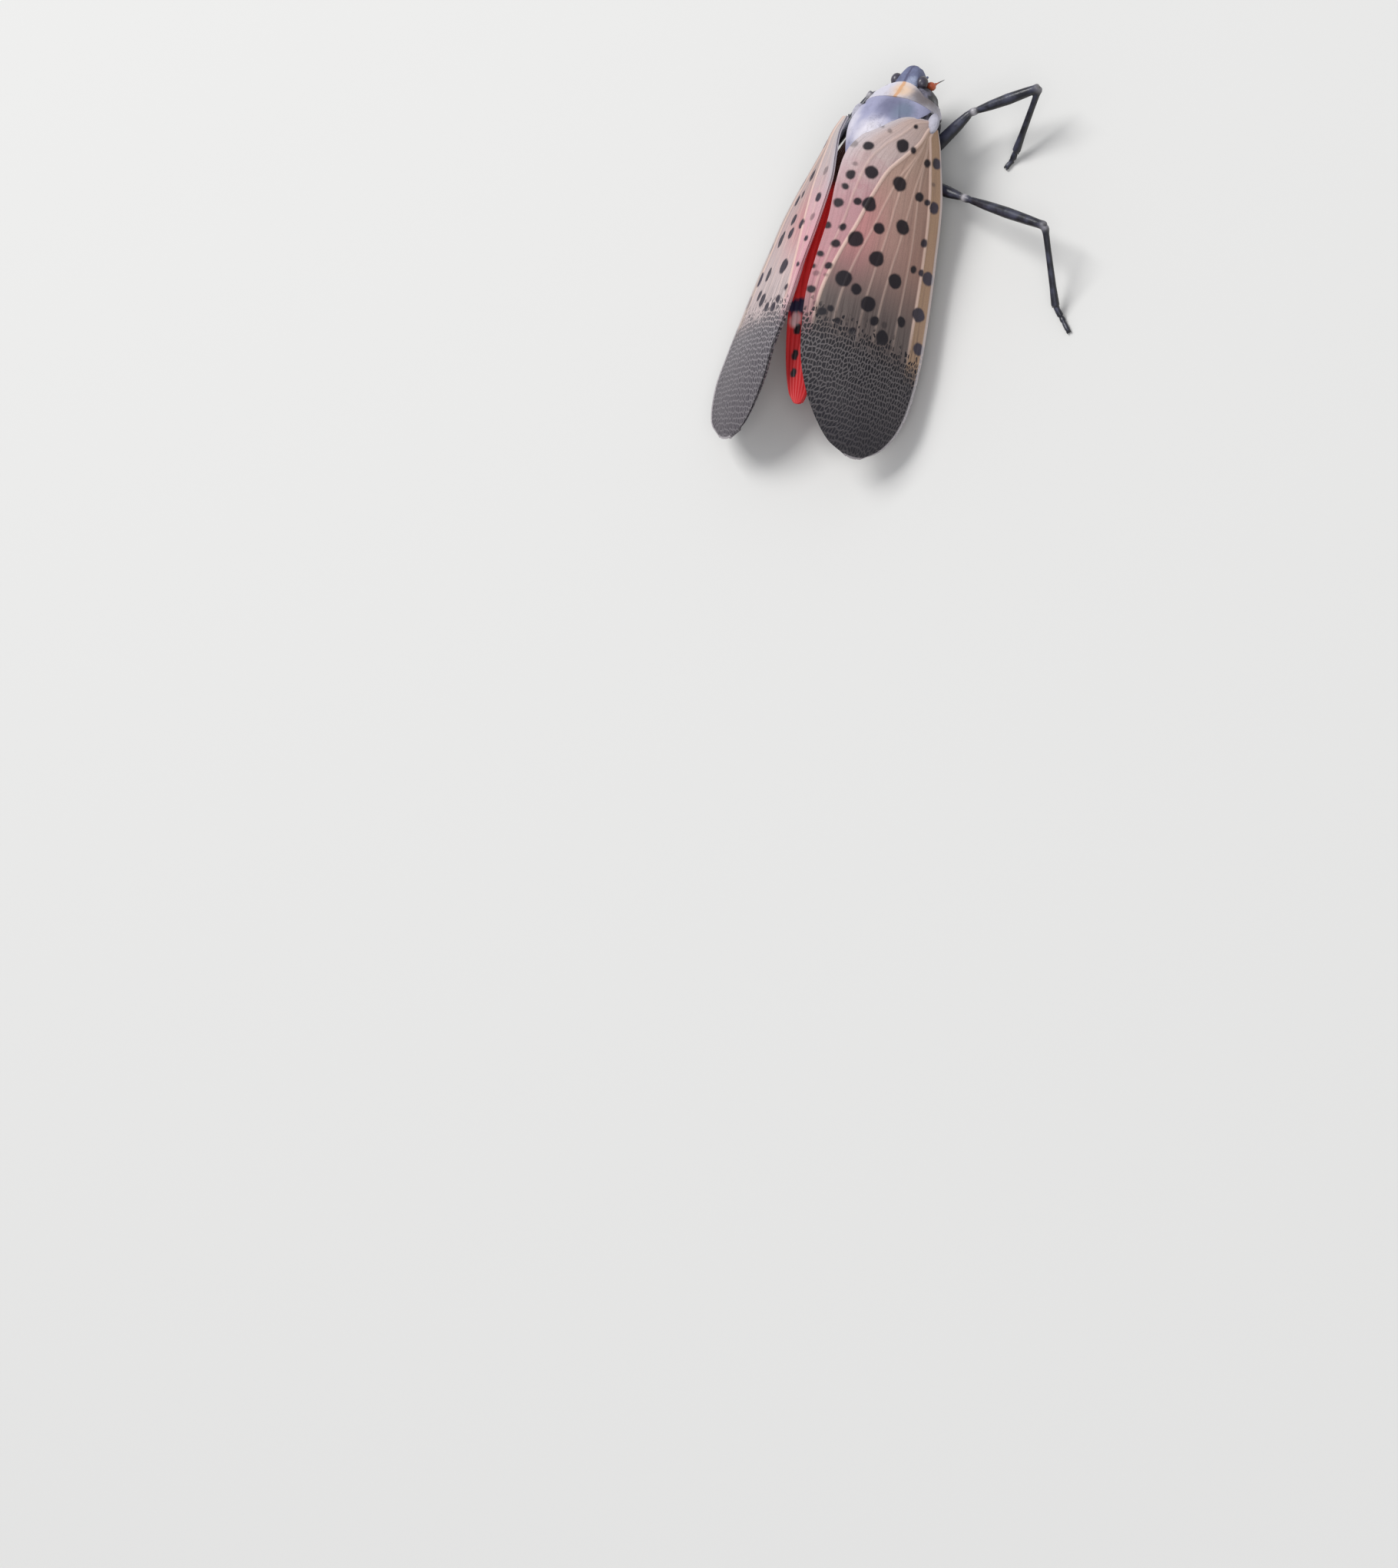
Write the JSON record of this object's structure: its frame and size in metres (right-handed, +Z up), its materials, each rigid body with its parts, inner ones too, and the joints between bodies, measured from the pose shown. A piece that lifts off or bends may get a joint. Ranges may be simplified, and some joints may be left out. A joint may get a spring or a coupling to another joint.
{
  "type": "spotted lanternfly",
  "caption": "Still life-size adult lanternfly at rest, wings held roof-like over the back and a little apart, scarlet hindwing showing between them, thin jointed legs on the floor.",
  "frame": {"origin": "on the floor, under the middle of the whole insect's bounding box", "axes": "+Y towards the head, +X to the insect's right, +Z up from the floor it stands on"},
  "size_m": [0.0218, 0.025, 0.0075],
  "materials": {
    "wing": "thin leathery forewing, tan-grey with dark spots, fine pale net at the tip, satin",
    "hindwing": "scarlet membrane with black spots, satin",
    "shield": "blue-grey powdery mesonotum and thorax, matt",
    "collar": "cream and tan pronotum and tegulae, matt",
    "head": "blue-grey powdery head, matt",
    "eye": "dark faceted eye, glossy",
    "antenna": "orange antennal bulb, satin",
    "belly": "yellow abdomen with dark rings, satin",
    "limb": "black leg with a bluish sheen, low gloss"
  },
  "bodies": {
    "root": {"head": "head", "pronotum": "collar", "thorax": "shield", "beak": "limb", "abdomen": "belly", "abdomen_tip": "limb", "eye_right": "eye", "antenna_right": "antenna", "tegula_right": "collar", "forewing_right": "wing", "hindwing_right": "hindwing", "eye_left": "eye", "antenna_left": "antenna", "tegula_left": "collar", "forewing_left": "wing", "hindwing_left": "hindwing", "fore_right_coxa": "limb", "fore_right_femur": "limb", "fore_right_tibia": "limb", "fore_right_tarsus": "limb", "fore_left_coxa": "limb", "fore_left_femur": "limb", "fore_left_tibia": "limb", "fore_left_tarsus": "limb", "mid_right_coxa": "limb", "mid_right_femur": "limb", "mid_right_tibia": "limb", "mid_right_tarsus": "limb", "mid_left_coxa": "limb", "mid_left_femur": "limb", "mid_left_tibia": "limb", "mid_left_tarsus": "limb", "hind_right_coxa": "limb", "hind_right_femur": "limb", "hind_right_tibia": "limb", "hind_right_tarsus": "limb", "hind_left_coxa": "limb", "hind_left_femur": "limb", "hind_left_tibia": "limb", "hind_left_tarsus": "limb"}
  },
  "joints": []
}
